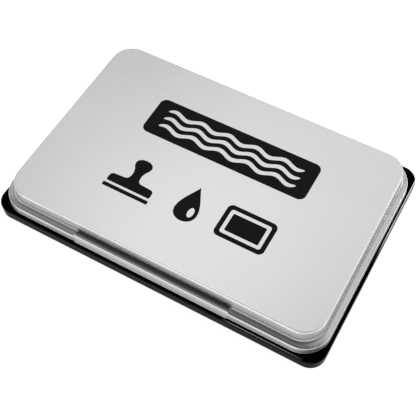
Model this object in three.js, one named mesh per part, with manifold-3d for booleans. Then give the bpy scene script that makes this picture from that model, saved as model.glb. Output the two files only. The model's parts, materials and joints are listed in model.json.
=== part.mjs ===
// Hinged tin ink pad: a pressed lid over a black tray that holds an inked, cloth-covered felt pad.
//
// Units are millimetres, +Z is up, +Y is towards the hinge and -Y towards the thumb lip.
// The origin is the centre of the tray's underside and the lid is closed.
//
// Every pressed or moulded piece follows the same rounded rectangle, the lid's flat panel. A section
// is a list of [offset, height] points: offset is measured outwards from the panel's edge, so a
// negative offset lies inside it. A section starts on an upward face and ends on a downward one.

import * as THREE from 'three';
import { mergeVertices } from 'three/addons/utils/BufferGeometryUtils.js';
import Module from 'manifold-3d';

// Lid panel and overall height
const PANEL_LENGTH = 118;
const PANEL_WIDTH = 76.8;
const PANEL_RADIUS = 8;
const TOP = 13.5;

// Pressed lid
const SHEET = 0.4;
const EDGE_TURN = 35;
const EDGE_TIGHT = 0.15;
const EDGE_WIDE = 1.2;
const EDGE_START = -0.3;
const WALL_FOOT = 0.35;
const COVE_RADIUS = 0.9;
const BEAD_OFFSET = 2.05;
const BEAD_RADIUS = 0.58;
const HEM_OFFSET = 2.52;
const HEM_RADIUS = 0.3;
const SKIRT_BOTTOM = 4.7;
const FRONT_TIGHT = 0.6;

// Sections of the lid: plain, and at the thumb lip, the middle of the front skirt, which stands
// higher and further out. Angles are in degrees.
const PLAIN = { beadHeight: 7.42, beadFrom: 78, coveEnd: 258, ledge: 8.2, flare: 0 };
const LIP = { beadHeight: 8.4, beadFrom: 145, coveEnd: 275, ledge: 8, flare: 0.3 };
const LIP_HALF_LENGTH = 29.5;
const LIP_STEP = 0.5;

// Black tray
const TRAY_FLOOR = 0.7;
const TRAY_RIM_OUTER = 4;
const TRAY_RIM_INNER = 3.3;
const TRAY_RIM_TOP = 4.6;
const TRAY_FOOT = 3.95;
const TRAY_RADIUS = 5.75;
const TRAY_BOTTOM_EDGE = 0.45;
const GROOVE_INNER = -10;
const GROOVE_OUTER = -7;
const GROOVE_DEPTH = 0.3;

// Rolled hinge, one at each end of the back edge
const HINGE_OFFSET = 4.75;
const HINGE_HEIGHT = 5;
const HINGE_X = 36;
const LID_KNUCKLE_LENGTH = 12;
const TRAY_KNUCKLE_LENGTH = 5;
const KNUCKLE_GAP = 0.4;
const BORE_RADIUS = 0.7;
const PIN_RADIUS = 0.6;
const PIN_OVERHANG = 0.4;
const CURL_RADIUS = BORE_RADIUS + SHEET;

// Pad: from the outside in, with FIT between pieces that touch
const FIT = 0.3;
const FRAME_OUTER = -1;
const FRAME_WALL = 1;
const FRAME_LIP_INNER = -4.4;
const FRAME_LIP_THICKNESS = 0.6;
const CLOTH = 0.5;
const PAN_WALL = 0.8;
const PAN_FLOOR = 0.7;
const PAN_TOP = 8.2;
const BOARD_THICKNESS = 1.2;
const FOAM_THICKNESS = 3.4;
const PAD_CROWN = 2.7;
const PAD_SHOULDER = 3.6;
const PAD_CORNER_RADIUS = 4;

const CORNER_SEGMENTS = 10;
const ROUND_SEGMENTS = 20;

const DEG = Math.PI / 180;
const HALF_X = PANEL_LENGTH / 2;
const HALF_Y = PANEL_WIDTH / 2;
const HINGE_Y = HALF_Y + HINGE_OFFSET;

// ---------------------------------------------------------------- sections and lofts

// Points of an arc in a section, from one angle to another in degrees.
function arc(offset, height, radius, from, to, steps) {
  const points = [];
  for (let i = 0; i <= steps; i += 1) {
    const angle = (from + ((to - from) * i) / steps) * DEG;
    points.push([offset + radius * Math.cos(angle), height + radius * Math.sin(angle)]);
  }
  return points;
}

// Points round the panel's rounded rectangle, anticlockwise from above, starting at the back right.
// Each says how to place itself for any offset and corner radius. frontStations adds points along
// the front edge, at the given x from left to right. frontTight makes the front corners tighter by
// that share of the offset.
function stations(frontStations = [], frontTight = 0) {
  const list = [];
  for (const [quarter, signX, signY] of [[0, 1, 1], [1, -1, 1], [2, -1, -1], [3, 1, -1]]) {
    for (let i = 0; i <= CORNER_SEGMENTS; i += 1) {
      const angle = (quarter + i / CORNER_SEGMENTS) * 90 * DEG;
      list.push((offset, height, radius) => {
        const r = signY < 0 ? radius - frontTight * Math.max(offset, 0) : radius;
        return new THREE.Vector3(
          signX * (HALF_X + offset - r) + r * Math.cos(angle),
          signY * (HALF_Y + offset - r) + r * Math.sin(angle),
          height,
        );
      });
    }
    if (quarter === 2) {
      for (const x of frontStations) {
        list.push((offset, height) => new THREE.Vector3(x, -HALF_Y - offset, height));
      }
    }
  }
  return list;
}

// Skins a stack of rings of equal length. Open stacks are capped at both ends, closed ones join up.
function loft(rings, closed = false) {
  const count = rings[0].length;
  const points = rings.flat();
  const index = [];
  const last = rings.length - 1;
  for (let k = 0; k < (closed ? rings.length : last); k += 1) {
    const a = k * count;
    const b = ((k + 1) % rings.length) * count;
    for (let i = 0; i < count; i += 1) {
      const j = (i + 1) % count;
      index.push(a + i, b + i, b + j, a + i, b + j, a + j);
    }
  }
  if (!closed) {
    for (const [ring, up] of [[0, true], [last, false]]) {
      const centre = rings[ring].reduce((sum, p) => sum.add(p), new THREE.Vector3()).divideScalar(count);
      centre.z = rings[ring][0].z;
      const middle = points.push(centre) - 1;
      for (let i = 0; i < count; i += 1) {
        const here = ring * count + i;
        const next = ring * count + ((i + 1) % count);
        index.push(middle, up ? here : next, up ? next : here);
      }
    }
  }
  const geometry = new THREE.BufferGeometry();
  geometry.setAttribute('position', new THREE.Float32BufferAttribute(points.flatMap((p) => p.toArray()), 3));
  geometry.setIndex(index);
  return geometry;
}

// Loft of one section round the panel, with the corner radius that radiusAt gives for each point.
function sweep(section, radiusAt, closed = false) {
  const around = stations();
  return loft(section.map(([offset, height]) => around.map((place) => (
    place(offset, height, radiusAt(offset, height))))), closed);
}

// A flat layer with a slightly rounded top edge, between two heights.
function layer(offset, low, thickness, edge, radiusAt) {
  const high = low + thickness;
  const section = [...arc(offset - edge, high - edge, edge, 90, 0, 3), [offset, low]];
  return sweep(section, radiusAt);
}

// ---------------------------------------------------------------- joins and cuts

const wasm = await Module();
wasm.setup();

function toSolid(geometry) {
  const plain = geometry.clone();
  plain.deleteAttribute('normal');
  plain.deleteAttribute('uv');
  const merged = mergeVertices(plain, 1e-4);
  return new wasm.Manifold(new wasm.Mesh({
    numProp: 3,
    vertProperties: new Float32Array(merged.attributes.position.array),
    triVerts: new Uint32Array(merged.index.array),
  }));
}

function toGeometry(solid) {
  const { vertProperties, triVerts, numProp } = solid.getMesh();
  const geometry = new THREE.BufferGeometry();
  const positions = new Float32Array((vertProperties.length / numProp) * 3);
  for (let i = 0; i < positions.length / 3; i += 1) {
    positions.set(vertProperties.subarray(i * numProp, i * numProp + 3), i * 3);
  }
  geometry.setAttribute('position', new THREE.BufferAttribute(positions, 3));
  geometry.setIndex([...triVerts]);
  return geometry;
}

// A section in the YZ plane, run along X from one x to another.
function alongX(points, fromX, toX) {
  const shape = new THREE.Shape(points.map(([y, z]) => new THREE.Vector2(y, z)));
  const geometry = new THREE.ExtrudeGeometry(shape, { depth: toX - fromX, bevelEnabled: false });
  const turn = new THREE.Matrix4().makeBasis(
    new THREE.Vector3(0, 1, 0), new THREE.Vector3(0, 0, 1), new THREE.Vector3(1, 0, 0));
  return geometry.applyMatrix4(turn.setPosition(fromX, 0, 0));
}

// ---------------------------------------------------------------- hinge

// A strip that comes in along a straight lead and rolls round the hinge axis. The strip's middle
// line lies at the roll's mean radius; the roll runs clockwise as seen from +X.
function curl(lead, from, to) {
  const inner = [];
  const outer = [];
  for (const [y, z] of arc(HINGE_Y, HINGE_HEIGHT, BORE_RADIUS, from, to, ROUND_SEGMENTS)) {
    inner.push([y, z]);
  }
  for (const [y, z] of arc(HINGE_Y, HINGE_HEIGHT, CURL_RADIUS, from, to, ROUND_SEGMENTS)) {
    outer.push([y, z]);
  }
  return [...lead, ...outer, ...inner.reverse()];
}

// The lid's tongue leaves the back skirt level with the top of the roll.
function lidKnuckle(centreX) {
  const root = HALF_Y + HEM_OFFSET + HEM_RADIUS / 3;
  const lead = [[root, HINGE_HEIGHT + BORE_RADIUS], [root, HINGE_HEIGHT + CURL_RADIUS]];
  const half = LID_KNUCKLE_LENGTH / 2;
  return alongX(curl(lead, 90, -200), centreX - half, centreX + half);
}

// The tray's tongue rises out of the rim and rolls over the pin.
function trayKnuckle(fromX) {
  const foot = HINGE_HEIGHT - CURL_RADIUS;
  const lead = [[HINGE_Y - BORE_RADIUS, foot], [HINGE_Y - CURL_RADIUS, foot]];
  return alongX(curl(lead, 180, -110), fromX, fromX + TRAY_KNUCKLE_LENGTH);
}

// Room for the lid's knuckle in the tray's back rim.
function knuckleNotch(centreX) {
  const half = LID_KNUCKLE_LENGTH / 2 + KNUCKLE_GAP;
  const low = HINGE_HEIGHT - CURL_RADIUS - KNUCKLE_GAP;
  const depth = 2;
  const front = HALF_Y + TRAY_RIM_INNER - depth / 2;
  const points = [[front, low], [front + depth, low], [front + depth, TOP], [front, TOP]];
  return alongX(points, centreX - half, centreX + half);
}

function hingePin(centreX) {
  const length = LID_KNUCKLE_LENGTH + 2 * (KNUCKLE_GAP + TRAY_KNUCKLE_LENGTH + PIN_OVERHANG);
  const dome = PIN_RADIUS / 3;
  const profile = [
    [0, -length / 2], [PIN_RADIUS - dome, -length / 2], [PIN_RADIUS, dome - length / 2],
    [PIN_RADIUS, length / 2 - dome], [PIN_RADIUS - dome, length / 2], [0, length / 2],
  ];
  const points = profile.map(([r, x]) => new THREE.Vector2(r, x));
  const geometry = new THREE.LatheGeometry(points, ROUND_SEGMENTS);
  geometry.rotateZ(-90 * DEG);
  return geometry.translate(centreX, HINGE_Y, HINGE_HEIGHT);
}

// ---------------------------------------------------------------- lid

// The panel's edge: a tight bend that opens into a wider one, down to the head of the wall.
function panelEdge() {
  const middle = [EDGE_START, TOP - EDGE_TIGHT];
  const apart = EDGE_WIDE - EDGE_TIGHT;
  const wider = [
    middle[0] - apart * Math.cos(EDGE_TURN * DEG),
    middle[1] - apart * Math.sin(EDGE_TURN * DEG),
  ];
  return [
    ...arc(...middle, EDGE_TIGHT, 90, EDGE_TURN, 2),
    ...arc(...wider, EDGE_WIDE, EDGE_TURN, 5, 3).slice(1),
  ];
}

// Section of the lid: down the outside from the panel, round the hem, and up the inside.
function lidSection({ beadHeight, beadFrom, coveEnd, ledge, flare }) {
  const cove = [WALL_FOOT + COVE_RADIUS, ledge + COVE_RADIUS];
  const hem = [HEM_OFFSET + flare, SKIRT_BOTTOM + HEM_RADIUS + flare / 2];
  return [
    ...panelEdge(),
    ...arc(...cove, COVE_RADIUS, 180, coveEnd, 5),
    ...arc(BEAD_OFFSET, beadHeight, BEAD_RADIUS, beadFrom, 0, 5),
    ...arc(...hem, HEM_RADIUS, 40, -90, 5),
    [hem[0] - HEM_RADIUS + SHEET / 8, hem[1]],
    ...arc(BEAD_OFFSET, beadHeight, BEAD_RADIUS - SHEET, 0, beadFrom, 2),
    ...arc(...cove, COVE_RADIUS + SHEET, coveEnd, 180, 5),
    [-SHEET, TOP - SHEET - EDGE_TIGHT],
    [-SHEET - EDGE_TIGHT, TOP - SHEET],
  ];
}

// The back corners open out a little more than the offset grows.
function lidRadius(offset) {
  return PANEL_RADIUS + (offset > 0 ? 1.2 * offset : offset);
}

function lidShell() {
  const plain = lidSection(PLAIN);
  const lip = lidSection(LIP);
  const stepPoints = [-0.5, -0.25, 0, 0.25, 0.5].map((t) => LIP_HALF_LENGTH + t * LIP_STEP);
  const frontStations = [...stepPoints.map((x) => -x).reverse(), ...stepPoints];
  const lipEnd = LIP_HALF_LENGTH + LIP_STEP / 2;
  const lipShare = (x) => THREE.MathUtils.smoothstep(lipEnd - Math.abs(x), 0, LIP_STEP);
  const around = stations(frontStations, FRONT_TIGHT);
  const rings = plain.map(([offset, height], k) => around.map((place) => {
    const point = place(offset, height, lidRadius(offset));
    const share = point.y < 0 && Math.abs(point.x) < HALF_X - PANEL_RADIUS ? lipShare(point.x) : 0;
    const [lipOffset, lipHeight] = lip[k];
    point.y -= share * (lipOffset - offset);
    point.z += share * (lipHeight - height);
    return point;
  }));
  let solid = toSolid(loft(rings));
  for (const side of [-1, 1]) solid = solid.add(toSolid(lidKnuckle(side * HINGE_X)));
  return toGeometry(solid);
}

// ---------------------------------------------------------------- tray

function tray() {
  const rimRadius = (TRAY_RIM_OUTER - TRAY_RIM_INNER) / 2;
  const rimMiddle = (TRAY_RIM_OUTER + TRAY_RIM_INNER) / 2;
  const floorFillet = 0.5;
  const wallFoot = TRAY_RIM_INNER - 0.2;
  const groove = [
    [GROOVE_OUTER, 0], [GROOVE_OUTER - GROOVE_DEPTH, GROOVE_DEPTH],
    [GROOVE_INNER + GROOVE_DEPTH, GROOVE_DEPTH], [GROOVE_INNER, 0],
  ];
  const section = [
    ...arc(wallFoot - floorFillet, TRAY_FLOOR + floorFillet, floorFillet, 270, 360, 3),
    ...arc(rimMiddle, TRAY_RIM_TOP - rimRadius, rimRadius, 180, 0, 6),
    ...arc(TRAY_FOOT - TRAY_BOTTOM_EDGE, TRAY_BOTTOM_EDGE, TRAY_BOTTOM_EDGE, 0, -90, 3),
    ...groove,
  ];
  const radiusAt = (offset) => (offset > 0 ? TRAY_RADIUS + offset - TRAY_FOOT : TRAY_RADIUS);
  let solid = toSolid(sweep(section, radiusAt));
  const firstGap = LID_KNUCKLE_LENGTH / 2 + KNUCKLE_GAP;
  for (const side of [-1, 1]) {
    solid = solid.subtract(toSolid(knuckleNotch(side * HINGE_X)));
    solid = solid.add(toSolid(trayKnuckle(side * HINGE_X + firstGap)));
    solid = solid.add(toSolid(trayKnuckle(side * HINGE_X - firstGap - TRAY_KNUCKLE_LENGTH)));
  }
  return toGeometry(solid);
}

// ---------------------------------------------------------------- pad

const clothOuter = FRAME_OUTER - FRAME_WALL - FIT;
const panOuter = clothOuter - CLOTH - FIT;
const stackOuter = panOuter - PAN_WALL - FIT;
const panBottom = TRAY_FLOOR + FIT;
const boardBottom = panBottom + PAN_FLOOR + FIT;
const foamBottom = boardBottom + BOARD_THICKNESS + FIT;
const feltBottom = foamBottom + FOAM_THICKNESS + FIT;
const clothEdge = PAN_TOP + FIT + CLOTH;
const lipBottom = clothEdge + FIT;
const domeMiddle = FRAME_LIP_INNER - FIT - PAD_SHOULDER;

const padRadius = (offset) => Math.max(PAD_CORNER_RADIUS + offset - clothOuter, 1);

// Pressed pan that the felt and foam are stacked in.
function padPan() {
  const inner = panOuter - PAN_WALL;
  const section = [
    [inner, panBottom + PAN_FLOOR], [inner, PAN_TOP], [panOuter, PAN_TOP], [panOuter, panBottom],
  ];
  return sweep(section, padRadius);
}

// The pad's crowned top in section, from its flat middle down to its edge, inset from the cloth's
// outer face by a distance.
function dome(inset) {
  const points = [];
  for (const [u, v] of arc(0, 0, 1, 90, 0, 5)) {
    points.push([domeMiddle + u * (PAD_SHOULDER - inset), clothEdge + v * (PAD_CROWN - inset)]);
  }
  return points;
}

// Cloth stretched over the felt and the pan's edge, and down between the pan and the frame.
function coverCloth() {
  const under = PAN_TOP + FIT;
  const tail = clothOuter - CLOTH;
  const turn = 0.25;
  const section = [
    ...dome(0),
    [clothOuter - turn, clothEdge],
    [clothOuter, clothEdge - turn],
    [clothOuter, boardBottom],
    [tail, boardBottom],
    [tail, under],
    [domeMiddle + PAD_SHOULDER - CLOTH, under],
    ...dome(CLOTH).reverse(),
  ];
  return sweep(section, padRadius);
}

function feltLayer() {
  const rim = dome(CLOTH + FIT);
  const section = [
    ...rim,
    [rim.at(-1)[0], PAN_TOP],
    [stackOuter, PAN_TOP],
    [stackOuter, feltBottom],
  ];
  return sweep(section, padRadius);
}

// Frame pressed over the cloth, with a lip over the pan's edge.
function padFrame() {
  const inner = FRAME_OUTER - FRAME_WALL;
  const lipTop = lipBottom + FRAME_LIP_THICKNESS;
  const edge = 0.3;
  const section = [
    ...arc(FRAME_OUTER - edge, lipTop - edge, edge, 90, 0, 3),
    [FRAME_OUTER, panBottom],
    [inner, panBottom],
    [inner, lipBottom],
    ...arc(FRAME_LIP_INNER + edge, lipBottom + edge, edge, 270, 90, 4),
  ];
  return sweep(section, padRadius, true);
}

// ---------------------------------------------------------------- assembly

const MATERIALS = {
  tin: { color: 0xc9cacb, roughness: 0.34, metalness: 1 },
  blackLacquer: { color: 0x0b0b0c, roughness: 0.18, metalness: 0 },
  steelWire: { color: 0x9a9b9c, roughness: 0.3, metalness: 1 },
  blackPlastic: { color: 0x151517, roughness: 0.45, metalness: 0 },
  pan: { color: 0xb4b5b6, roughness: 0.45, metalness: 1 },
  board: { color: 0x8d7a5c, roughness: 0.9, metalness: 0 },
  foam: { color: 0x24243a, roughness: 0.95, metalness: 0 },
  felt: { color: 0x1b1b2c, roughness: 0.95, metalness: 0 },
  cloth: { color: 0x131320, roughness: 0.85, metalness: 0 },
};

function piece(name, geometry, material) {
  const mesh = new THREE.Mesh(geometry, new THREE.MeshStandardMaterial(MATERIALS[material]));
  mesh.name = name;
  return mesh;
}

const lid = new THREE.Group();
lid.add(piece('lid_shell', lidShell(), 'tin'));

const base = new THREE.Group();
base.add(piece('base_tray', tray(), 'blackLacquer'));
base.add(piece('hinge_pin_left', hingePin(-HINGE_X), 'steelWire'));
base.add(piece('hinge_pin_right', hingePin(HINGE_X), 'steelWire'));
base.add(piece('pad_pan', padPan(), 'pan'));
base.add(piece('backing_board', layer(stackOuter, boardBottom, BOARD_THICKNESS, 0.1, padRadius), 'board'));
base.add(piece('reservoir_foam', layer(stackOuter, foamBottom, FOAM_THICKNESS, 0.3, padRadius), 'foam'));
base.add(piece('felt_layer', feltLayer(), 'felt'));
base.add(piece('cover_cloth', coverCloth(), 'cloth'));
base.add(piece('retaining_frame', padFrame(), 'blackPlastic'));

const inkPad = new THREE.Group();
inkPad.add(base, lid);

export default inkPad;
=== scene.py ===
import json
import math

import bmesh
import bpy
from mathutils import Matrix, Vector, kdtree, noise


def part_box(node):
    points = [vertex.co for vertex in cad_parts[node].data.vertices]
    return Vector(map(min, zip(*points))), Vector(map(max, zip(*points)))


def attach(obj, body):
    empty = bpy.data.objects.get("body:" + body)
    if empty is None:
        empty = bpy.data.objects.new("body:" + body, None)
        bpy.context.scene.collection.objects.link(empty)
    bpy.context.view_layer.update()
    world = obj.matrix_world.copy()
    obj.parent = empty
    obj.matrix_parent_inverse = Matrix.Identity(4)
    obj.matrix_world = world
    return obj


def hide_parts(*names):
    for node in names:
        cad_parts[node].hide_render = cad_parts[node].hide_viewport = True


# A hinged tin ink pad: pressed silver lid, glossy black tray, cloth-covered pad.
# Sections are lists of (offset, height) in millimetres. An offset is measured outwards from the edge
# of the lid's flat panel, so a negative one lies inside it. Meshes are scaled to metres when made.

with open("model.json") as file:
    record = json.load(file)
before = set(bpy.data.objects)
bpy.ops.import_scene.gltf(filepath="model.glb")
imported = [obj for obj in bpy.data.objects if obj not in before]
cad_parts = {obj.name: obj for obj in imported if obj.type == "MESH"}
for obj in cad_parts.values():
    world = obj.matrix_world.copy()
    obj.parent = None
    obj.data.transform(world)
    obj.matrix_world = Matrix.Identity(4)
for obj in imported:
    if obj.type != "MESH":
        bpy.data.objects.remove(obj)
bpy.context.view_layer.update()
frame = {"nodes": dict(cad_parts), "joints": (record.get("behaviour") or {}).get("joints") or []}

MM = 0.001

# ---------------------------------------------------------------- sizes, from the frame

tray_low, tray_high = [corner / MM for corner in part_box("base_tray")]
lid_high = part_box("lid_shell")[1] / MM
pin_low, pin_high = [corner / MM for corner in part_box("hinge_pin_right")]
cloth_low, cloth_high = [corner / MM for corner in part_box("cover_cloth")]
frame_low, frame_high = [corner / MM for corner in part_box("retaining_frame")]
felt_low, felt_high = [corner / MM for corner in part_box("felt_layer")]
foam_low, foam_high = [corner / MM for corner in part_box("reservoir_foam")]
hinge = Vector(frame["joints"][0]["pos_m"]) / MM

RIM_OFFSET = 4.0                                # tray rim, outside the panel's edge
HALF_X = tray_high.x - RIM_OFFSET
HALF_Y = -tray_low.y - RIM_OFFSET
TOP = lid_high.z
PANEL_RADIUS = 8.0
SHEET = 0.4                                     # thickness of the pressed tinplate

EDGE_TIGHT = 0.15                               # radius of the bend at the panel's edge
EDGE_WIDE = 1.2                                 # radius of the wider bend that follows it
EDGE_TURN = 35                                  # degrees at which the one opens into the other
WALL_TURN = 5                                   # degrees at which the wider bend meets the wall
EDGE_START = -0.3                               # offset at which the panel begins to turn down
WALL_FOOT = 0.35
COVE_RADIUS = 0.9                               # between the wall and the ledge
WALL_HEAD_HEIGHT = TOP - 0.65
BEAD = 2.05                                     # middle of the bead between ledge and skirt
BEAD_RADIUS = 0.58
SKIRT_BOTTOM = TOP - 8.8
HEM = 2.52                                      # middle of the rolled hem
HEM_RADIUS = 0.3
LIP_END = 29.5                                  # half the thumb lip's length
LIP_STEP = 0.5
CORNER_OPENING = 1.2                            # growth of a lid corner's radius with the offset
FRONT_TIGHT = 0.6                               # how much less the front corners open out
LEAST_RADIUS = 0.4
SIDE_SHARE = 0.98                               # the straight sides stop just short of a tight corner

RIM_TOP = 4.6
RIM_INNER = RIM_OFFSET - 0.7
TRAY_FLOOR = 0.7
TRAY_FOOT = RIM_OFFSET - 0.05
TRAY_RADIUS = 5.75
GROOVE = -8.5                                   # middle of the groove under the tray

PIN_RADIUS = (pin_high.z - pin_low.z) / 2
BORE_RADIUS = PIN_RADIUS + 0.1
CURL_RADIUS = BORE_RADIUS + SHEET
HINGE_X = (pin_low.x + pin_high.x) / 2
LID_KNUCKLE = 12.0
TRAY_KNUCKLE = 5.0
KNUCKLE_GAP = 0.4
SOFT_END = 0.06

CLOTH_OUTER = cloth_high.x - HALF_X
CLOTH_EDGE = felt_high.z - 1.9                  # height of the cloth at the frame's lip
FRAME_OUTER = frame_high.x - HALF_X
FRAME_LIP_INNER = FRAME_OUTER - 3.4
CROWN_EDGE = FRAME_LIP_INNER - 0.3              # where the pad's crown runs under the frame's lip
CROWN_RUN = 3.6
CROWN_MIDDLE = CROWN_EDGE - CROWN_RUN
CROWN_RISE = cloth_high.z - CLOTH_EDGE
CLOTH_INSET = 0.25                              # of the middle of the cloth, from its face
FELT_INSET = 0.8
PAD_CORNER = 4.0
INNER_STEPS = (-37, -30, -22, -14)              # offsets across the flat middle of a layer


# ---------------------------------------------------------------- camera

CAMERA_LENS = 70.9
CAMERA_PLACE = (0.0813, -0.1403, 0.2326 + TOP * MM)
CAMERA_TURN = (32.525, 0.616, 29.320)           # degrees


def make_camera():
    """Camera in front of the object, to its right and above it."""
    data = bpy.data.cameras.new("camera")
    data.lens = CAMERA_LENS
    data.sensor_width = 36
    data.clip_start = 0.01
    data.clip_end = 20
    camera = bpy.data.objects.new("camera", data)
    camera.location = CAMERA_PLACE
    camera.rotation_euler = [math.radians(angle) for angle in CAMERA_TURN]
    bpy.context.scene.collection.objects.link(camera)
    bpy.context.scene.camera = camera


make_camera()


# ---------------------------------------------------------------- node helpers

class Shader:
    """A material's node tree, with short calls that add a node and link its inputs."""

    def __init__(self, name):
        self.material = bpy.data.materials.new(name)
        self.material.use_nodes = True
        self.tree = self.material.node_tree
        self.surface = self.tree.nodes["Principled BSDF"]
        self.place = self.tree.nodes.new("ShaderNodeTexCoord").outputs["Object"]

    def put(self, socket, value):
        """Links a socket, or sets it to a constant."""
        if isinstance(value, bpy.types.NodeSocket):
            self.tree.links.new(value, socket)
        else:
            socket.default_value = value

    def add(self, kind, output=0, settings=None, **inputs):
        """Adds a node and returns one of its outputs. An underscore stands for a space."""
        made = self.tree.nodes.new("ShaderNode" + kind)
        for key, value in (settings or {}).items():
            setattr(made, key, value)
        for key, value in inputs.items():
            self.put(made.inputs[key.replace("_", " ")], value)
        return made.outputs[output]

    def noise(self, scale, detail=2.0, stretch=None, roughness=0.5):
        where = self.place
        if stretch:
            where = self.add("Mapping", Vector=self.place, Scale=stretch)
        return self.add("TexNoise", Vector=where, Scale=scale, Detail=detail, Roughness=roughness)

    def span(self, value, low, high, start=0.3, stop=0.7):
        """Maps a value from start and stop to low and high."""
        made = self.tree.nodes.new("ShaderNodeMapRange")
        self.put(made.inputs["Value"], value)
        for name, number in (("From Min", start), ("From Max", stop), ("To Min", low), ("To Max", high)):
            made.inputs[name].default_value = number
        return made.outputs[0]

    def math(self, operation, a, b=0.0, clamp=False):
        made = self.tree.nodes.new("ShaderNodeMath")
        made.operation = operation
        made.use_clamp = clamp
        self.put(made.inputs[0], a)
        self.put(made.inputs[1], b)
        return made.outputs[0]

    def blend(self, share, a, b):
        """Mixes two colours. A share of 0 gives the first."""
        made = self.tree.nodes.new("ShaderNodeMix")
        made.data_type = "RGBA"
        self.put(made.inputs[0], share)
        for socket, value in ((made.inputs[6], a), (made.inputs[7], b)):
            self.put(socket, value if isinstance(value, bpy.types.NodeSocket) else (*value, 1.0))
        return made.outputs[2]

    def mask(self, name):
        """A share that is stored at the vertices."""
        return self.add("Attribute", output=2, settings={"attribute_name": name})

    def bump(self, height, distance, strength=1.0, under=None):
        """A bumped normal, with its distance in millimetres, over another one if there is one."""
        made = self.tree.nodes.new("ShaderNodeBump")
        made.inputs["Strength"].default_value = strength
        made.inputs["Distance"].default_value = distance * MM
        self.put(made.inputs["Height"], height)
        if under is not None:
            self.put(made.inputs["Normal"], under)
        return made.outputs[0]

    def finish(self, **sockets):
        """Puts values on the surface's sockets and returns the material."""
        for key, value in sockets.items():
            self.put(self.surface.inputs[key.replace("_", " ")], value)
        return self.material


# ---------------------------------------------------------------- materials

# Darker tin for the drawn wall and skirt: duller drawn metal, and partly painted shade on these sides.
DRAWN_AND_SHADED_TIN = (0.51, 0.515, 0.52)
# Brighter tin on the panel edge and bead: partly edge wear, partly a painted highlight.
RUBBED_AND_HIGHLIGHT_TIN = (0.86, 0.865, 0.87)
# Bare tin for the tray rim's worn line, which also serves as a painted highlight.
BARE_TIN = (0.9, 0.9, 0.91)
# Painted shade: a dark colour laid into the lid's cove, and at the thumb lip into its groove and skirt.
PAINTED_SHADE_COLOUR = (0.12, 0.12, 0.118)


def tinplate(name="tinplate", low=(0.59, 0.595, 0.6), high=(0.65, 0.655, 0.66), rough=(0.22, 0.3)):
    """Satin tinplate: rougher and duller where it is drawn, with the darker colour there partly painted
    shade; painted shade in the grooves; and a bright colour on rubbed edges that is partly wear and partly
    painted highlight.
    """
    s = Shader(name)
    grain = s.noise(1900, detail=3.0)
    rolled = s.noise(2600, detail=2.0, stretch=(0.045, 1, 1))
    cloudy = s.noise(45, detail=3.0)
    rubbed_and_highlight = s.mask("rubbed_and_highlight")
    tone = s.math("ADD", s.math("MULTIPLY", grain, 0.5), s.math("MULTIPLY", cloudy, 0.5))
    colour = s.blend(s.span(tone, 0.0, 1.0, 0.35, 0.65), low, high)
    # Drawn wall and skirt: rougher, and darker in colour, which is partly painted shade.
    drawn = s.mask("drawn")
    colour = s.blend(drawn, colour, DRAWN_AND_SHADED_TIN)
    # Painted shade darkens the cove, and the groove and skirt at the thumb lip.
    colour = s.blend(s.math("MULTIPLY", s.mask("painted_shade"), 0.7), colour, PAINTED_SHADE_COLOUR)
    # Rubbed edges get a brighter colour: partly wear, partly a painted highlight.
    colour = s.blend(rubbed_and_highlight, colour, RUBBED_AND_HIGHLIGHT_TIN)
    roughness = s.math("ADD", s.span(tone, *rough), s.math("MULTIPLY", drawn, 0.2))
    roughness = s.math("SUBTRACT", roughness, s.math("MULTIPLY", rubbed_and_highlight, 0.15))
    fine = s.bump(grain, 0.004, 0.16)
    normal = s.bump(rolled, 0.004, 0.05, under=fine)
    return s.finish(Base_Color=colour, Metallic=1.0, Roughness=roughness, Normal=normal)


def black_lacquer():
    """Gloss black, with dust and slight orange peel, worn to bare tin where it is rubbed; on the tray rim
    that bare line is partly a painted highlight.
    """
    s = Shader("black_lacquer")
    specks = s.span(s.noise(900, detail=4.0), 0.0, 1.0, 0.66, 0.74)
    peel = s.noise(380, detail=1.0)
    cloudy = s.noise(50, detail=3.0)
    scratchy = s.noise(2200, detail=3.0, stretch=(0.2, 0.2, 1))
    # Bare tin line on the rim: wear, and partly a painted highlight.
    bare = s.math("MULTIPLY", s.mask("rubbed_and_highlight"), s.span(scratchy, 0.9, 1.0, 0.35, 0.5))
    colour = s.blend(s.math("MULTIPLY", specks, 0.25), (0.0015, 0.0015, 0.002), (0.02, 0.02, 0.022))
    colour = s.blend(bare, colour, BARE_TIN)
    roughness = s.math("ADD", s.span(cloudy, 0.1, 0.17), s.math("MULTIPLY", specks, 0.2))
    s.surface.inputs["IOR"].default_value = 1.07
    return s.finish(Base_Color=colour, Metallic=bare, Roughness=roughness,
                    Normal=s.bump(peel, 0.006, 0.4))


def printing_ink():
    """Matt black ink, screened on."""
    s = Shader("printing_ink")
    screen = s.noise(1500, detail=2.0)
    cloudy = s.noise(120, detail=2.0)
    colour = s.blend(s.span(cloudy, 0, 1), (0.0075, 0.0078, 0.0085), (0.0115, 0.0115, 0.012))
    s.surface.inputs["Specular IOR Level"].default_value = 0.08
    return s.finish(Base_Color=colour, Roughness=s.span(screen, 0.42, 0.56),
                    Normal=s.bump(screen, 0.003, 0.4))


def steel_wire():
    """Bright wire with drawing marks along it."""
    s = Shader("steel_wire")
    drawn = s.noise(3000, detail=2.0, stretch=(0.03, 1, 1))
    colour = s.blend(s.span(drawn, 0, 1), (0.42, 0.42, 0.43), (0.6, 0.6, 0.61))
    return s.finish(Base_Color=colour, Metallic=1.0, Roughness=s.span(drawn, 0.25, 0.42),
                    Normal=s.bump(drawn, 0.004, 0.4))


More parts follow.
